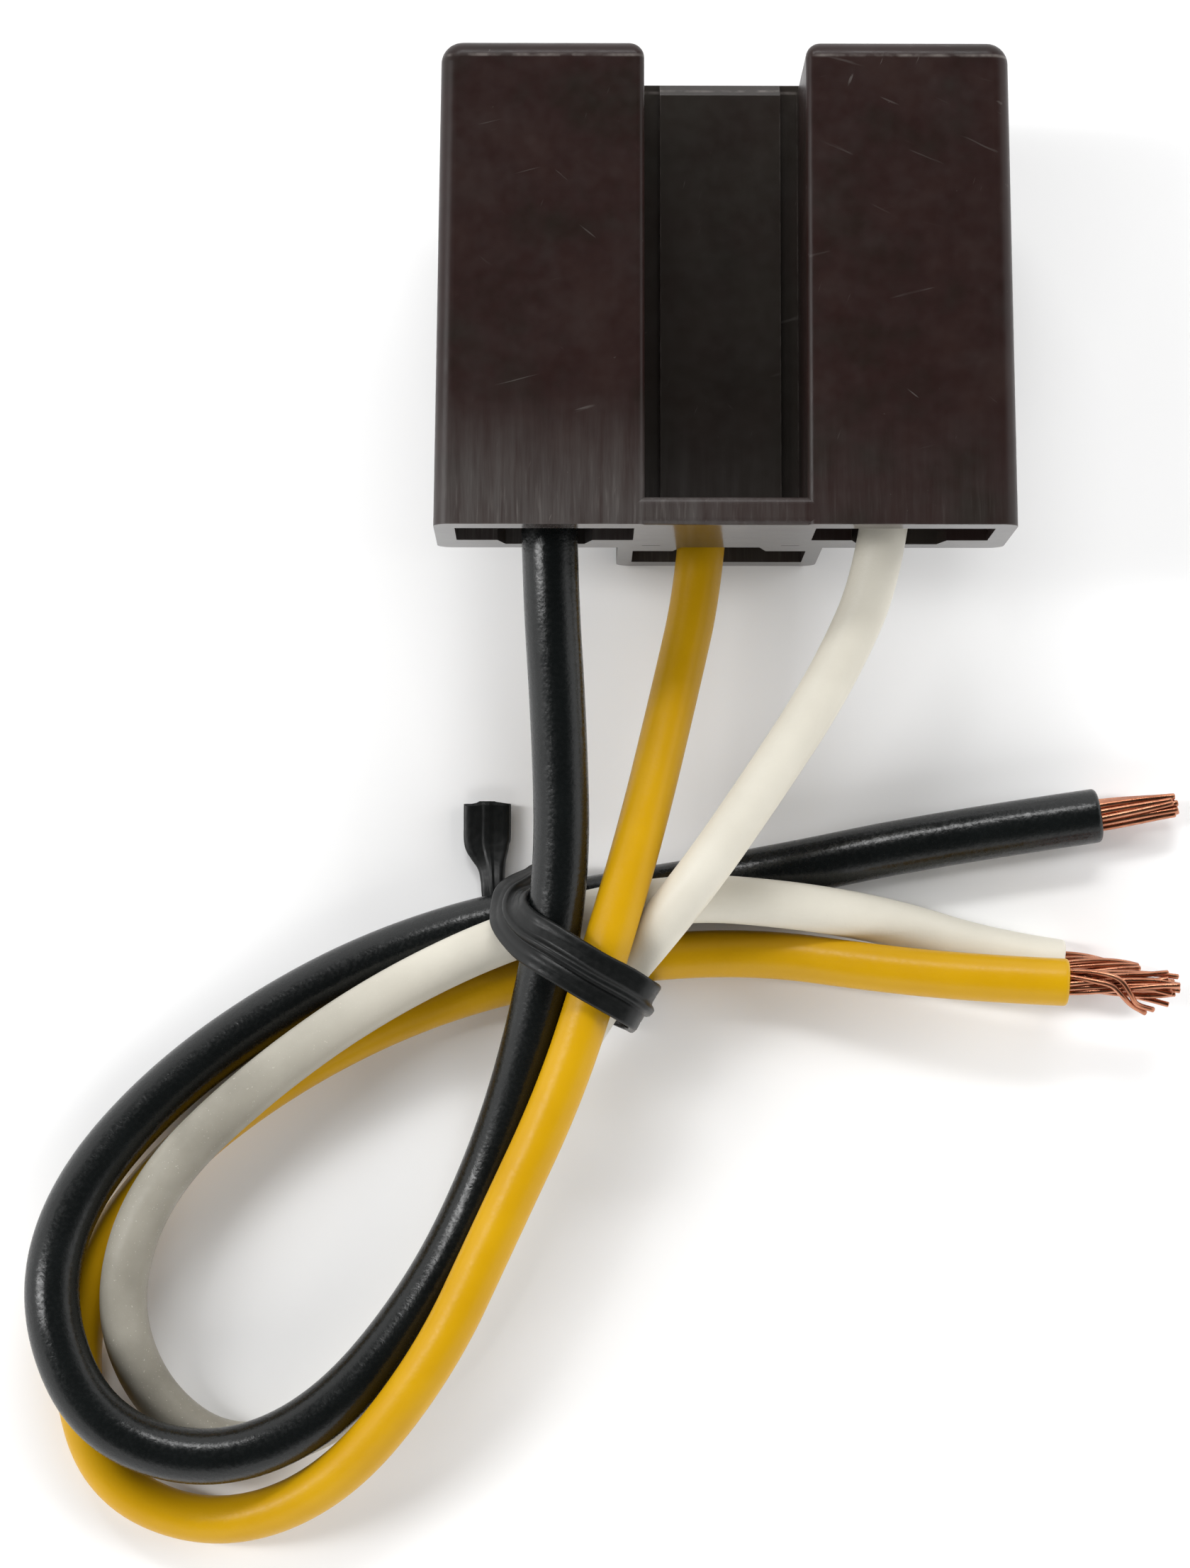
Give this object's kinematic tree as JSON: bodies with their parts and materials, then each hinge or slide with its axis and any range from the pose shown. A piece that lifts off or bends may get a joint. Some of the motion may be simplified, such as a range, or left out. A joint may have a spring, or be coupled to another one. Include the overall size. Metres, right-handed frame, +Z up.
{
  "type": "wiring connector with leads",
  "caption": "Flat-blade female connector with two tall outer towers and a lower middle one, with black, yellow and white stripped leads looped and held by a twist tie.",
  "frame": {"origin": "on the surface the connector lies on, under the centre of the housing's outline seen from above; the leads aren't counted", "axes": "+X across the housing, from the black lead's tower to the white lead's; +Y towards the mating end, so the leads leave towards -Y; +Z up from the surface, out of the face with the two tall towers"},
  "size_m": [0.0612, 0.0768, 0.0154],
  "materials": {
    "housing": "very dark brown moulded plastic, slightly glossy, fine scuffs on the faces and pale worn edges",
    "terminal": "stamped brass sheet, dull",
    "black_pvc": "semi-matt PVC with a broken glossy streak",
    "yellow_pvc": "semi-gloss PVC",
    "white_pvc": "warm white semi-gloss PVC",
    "copper": "bare bright copper strands",
    "tie_plastic": "satin black plastic ribbon",
    "tie_wire": "soft steel wire, hidden"
  },
  "bodies": {
    "root": {"housing": "housing", "terminal_left": "terminal", "terminal_middle": "terminal", "terminal_right": "terminal", "black_insulation": "black_pvc", "yellow_insulation": "yellow_pvc", "white_insulation": "white_pvc", "black_conductor": "copper", "yellow_conductor": "copper", "white_conductor": "copper", "black_strands": "copper", "yellow_strands": "copper", "white_strands": "copper", "twist_tie_ribbon": "tie_plastic", "twist_tie_core": "tie_wire"}
  },
  "joints": []
}
